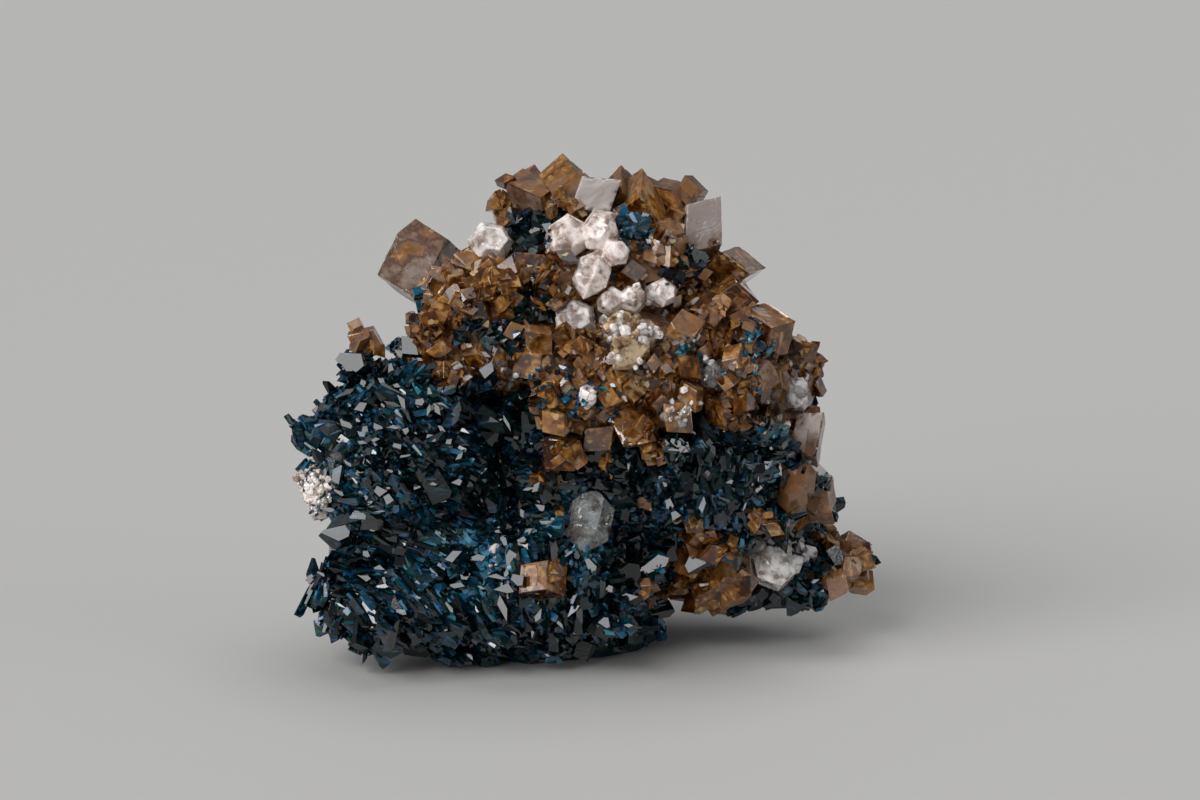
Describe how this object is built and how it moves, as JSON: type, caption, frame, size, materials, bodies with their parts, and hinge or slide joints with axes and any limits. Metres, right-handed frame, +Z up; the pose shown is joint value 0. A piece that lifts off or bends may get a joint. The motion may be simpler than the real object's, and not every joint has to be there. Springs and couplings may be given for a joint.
{
  "type": "lazulite specimen",
  "caption": "Mineral specimen: a dark blue-green lazulite mass under a crown of brown siderite rhombs, with clear and milky quartz crystals seated in it and a flat foot to stand on.",
  "frame": {"origin": "middle of the specimen's outline on the surface it stands on", "axes": "+Z up, the front that the picture shows faces -Y, +X to the right of that view"},
  "size_m": [0.0654, 0.0404, 0.055],
  "materials": {
    "lazulite": "glassy crystal faces, near-black blue to teal",
    "siderite": "translucent, satin to vitreous rhomb faces, tan to amber brown",
    "quartz": "clear to milky, veiled and cracked inside, glassy faces"
  },
  "bodies": {
    "root": {"lazulite_mass": "lazulite", "lazulite_crown_left": "lazulite", "lazulite_crown_middle": "lazulite", "lazulite_crown_right": "lazulite", "siderite_crown": "siderite", "siderite_rhomb_left": "siderite", "siderite_cluster_low_right": "siderite", "siderite_cluster_right_tip": "siderite", "siderite_rhomb_right": "siderite", "siderite_rhomb_far_left": "siderite", "siderite_rhomb_mid_left": "siderite", "siderite_rhomb_low": "siderite", "siderite_rhomb_hollow": "siderite", "siderite_rhomb_centre": "siderite", "quartz_cluster_upper": "quartz", "quartz_cluster_yellow": "quartz", "quartz_pair": "quartz", "quartz_crust_left": "quartz", "quartz_left": "quartz", "quartz_middle": "quartz", "quartz_pink": "quartz", "quartz_low": "quartz", "quartz_low_right": "quartz", "quartz_grey": "quartz", "quartz_small": "quartz", "quartz_right_edge": "quartz", "quartz_left_low": "quartz"}
  },
  "joints": []
}
